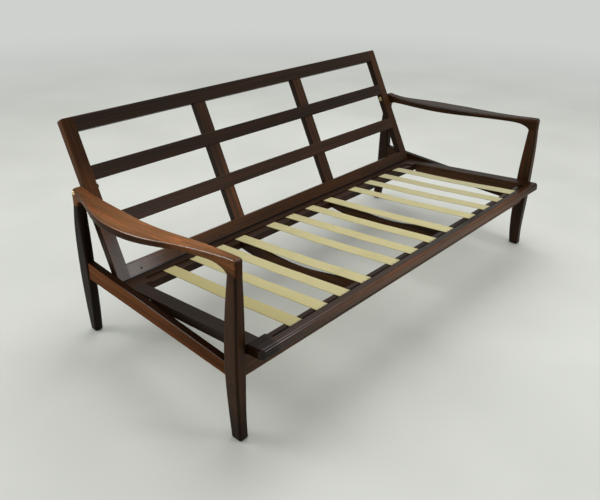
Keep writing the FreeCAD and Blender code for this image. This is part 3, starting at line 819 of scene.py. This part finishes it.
# %% Webbing finish
WEFT_RATE, WARP_RATE, FUZZ_RATE, SOIL_RATE = 2900, 190, 420.0, 14.0
THREAD_LOW, THREAD_HIGH = (0.44, 0.396, 0.204), (0.57, 0.513, 0.280)
YELLOWED_AND_SHADED, GREYER_RIGHT = (0.40, 0.345, 0.150), (0.43, 0.398, 0.240)
SOILED, EDGED = (0.38, 0.33, 0.165), (0.40, 0.35, 0.18)


def webbing_finish():
    """Cross threads: sine of v; lengthwise threads: sine of u; both bent a little by noise."""
    b = material_bench("webbing")
    uv = b.node("ShaderNodeUVMap", {"uv_map": "along"})
    u = b.dot(uv, (1, 0, 0))
    v = b.dot(uv, (0, 1, 0))
    place = b.object_place()
    x = b.dot(place, LONG)
    fuzz = b.noise(place, FUZZ_RATE, 3.0) - 0.5
    weft = ((v * WEFT_RATE + fuzz * 1.6).math("SINE") + 1) * 0.5
    warp = ((u * WARP_RATE + fuzz * 1.2).math("SINE") + 1) * 0.5
    weave = weft * 0.7 + warp * 0.3
    soil = b.noise(place, SOIL_RATE, 4.0, 0.6)
    selvedge = ((u - 0.5).math("ABSOLUTE") * 2).step(0.86, 0.94)
    colour = b.mix(weave, THREAD_LOW, THREAD_HIGH)
    # Partly yellowing, partly painted shade of the left arm, on the straps at the left end.
    colour = b.mix(x.step(-0.45, -0.72) * 0.75, colour, YELLOWED_AND_SHADED)
    # The straps at the right end are a little darker and greyer.
    colour = b.mix(x.step(0.20, 0.66) * 0.9, colour, GREYER_RIGHT)
    colour = b.mix(soil.step(0.45, 0.8) * 0.35, colour, SOILED)
    colour = b.mix(selvedge * 0.25, colour, EDGED)
    return b.finish(b.shader(Base_Color=colour, Roughness=0.78 + (soil - 0.5) * 0.15,
                             Normal=b.bump(weave, 0.5, 0.0004), Specular_IOR_Level=0.12))


webbing = webbing_finish()
for n in range(1, 13):
    node = "webbing_%02d" % n
    low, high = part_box(node)
    band = strap("strap_%02d" % n, low.x, high.x, n)
    band.data.materials.append(webbing)
    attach(band, "frame")
    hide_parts(node)
print("straps: 12, each", len(band.data.vertices), "points")

# %% [markdown]
# ## Floor and light
# The stage is a plain pale floor under a pale sky of soft light. A wide lamp overhead lights the arm
# tops and straps. Two window lamps, one at the front right and one behind on the left, give the long
# soft glints that satin wood shows along rounded edges. Far from the frame the floor melts into the
# pale background.

# %% Floor
PALE_GROUND = (0.62, 0.64, 0.62)
FLOOR_DARK, FLOOR_LIGHT = (0.60, 0.615, 0.57), (0.66, 0.675, 0.63)
MELT_FROM, MELT_FULL = 2.2, 6.5  # metres from the middle of the frame
REACH = 30.0


def floor_finish():
    """Pale grey, a touch uneven, and matt; a plain pale tone takes over far away."""
    b = material_bench("floor")
    place = b.object_place()
    cloud = b.noise(place, 1.3, 3.0)
    near = b.shader(Base_Color=b.mix(cloud.step(0.3, 0.7), FLOOR_DARK, FLOOR_LIGHT),
                    Roughness=0.6, Specular_IOR_Level=0.2)
    far = b.node("ShaderNodeEmission", None, {"Color": PALE_GROUND})
    share = b.distance(place, (0, 0, 0), (1, 1, 1)).step(MELT_FROM, MELT_FULL) * b.shown()
    return b.finish(b.node("ShaderNodeMixShader", None, {0: share, 1: near, 2: far}))


ground = bpy.data.meshes.new("floor")
corners = [(-REACH, -REACH, 0), (REACH, -REACH, 0), (REACH, REACH, 0), (-REACH, REACH, 0)]
ground.from_pydata(corners, [], [(0, 1, 2, 3)])
ground.materials.append(floor_finish())
floor = bpy.data.objects.new("floor", ground)
bpy.context.scene.collection.objects.link(floor)
print("floor: %.0f m square" % (2 * REACH))

# %% Lamps and sky
HORIZON, ZENITH = (0.16, 0.165, 0.17), (0.95, 0.95, 0.94)


def lamp(name, at, aim, size, glow):
    """A rectangular lamp that faces its aim; glow is the brightness of its face."""
    data = bpy.data.lights.new(name, "AREA")
    data.shape, data.size, data.size_y = "RECTANGLE", size[0], size[1]
    data.energy = math.pi * size[0] * size[1] * glow
    made = bpy.data.objects.new(name, data)
    bpy.context.scene.collection.objects.link(made)
    made.location = at
    made.rotation_euler = (Vector(aim) - Vector(at)).to_track_quat("-Z", "Y").to_euler()


def sky():
    """Dim at the horizon, bright overhead; where it is seen it is plain and pale."""
    b = Bench(bpy.data.worlds.new("sky"), "ShaderNodeOutputWorld")
    height = b.dot(b.node("ShaderNodeTexCoord", out=0), UP)
    glow = b.node("ShaderNodeValToRGB", {"stops": [(0, HORIZON), (1, ZENITH)]}, {0: height})
    colour = b.mix(b.shown(), glow, PALE_GROUND)
    return b.finish(b.node("ShaderNodeBackground", None, {"Color": colour}))


lamp("overhead", at=(1.1, 0.6, 3.4), aim=(0.1, 0, 0.3), size=(2.4, 1.8), glow=3.5)
lamp("front_window", at=(0.83, -2.7, 1.42), aim=(-0.78, 0.2, 0.28), size=(0.8, 0.5), glow=12)
lamp("back_window", at=(-2.35, 1.85, 2.25), aim=(-0.9, -0.1, 0.55), size=(1.2, 0.9), glow=7)
bpy.context.scene.world = sky()
bpy.context.scene.view_settings.view_transform = "Standard"
print("stage: floor and", len(bpy.data.lights), "lamps")
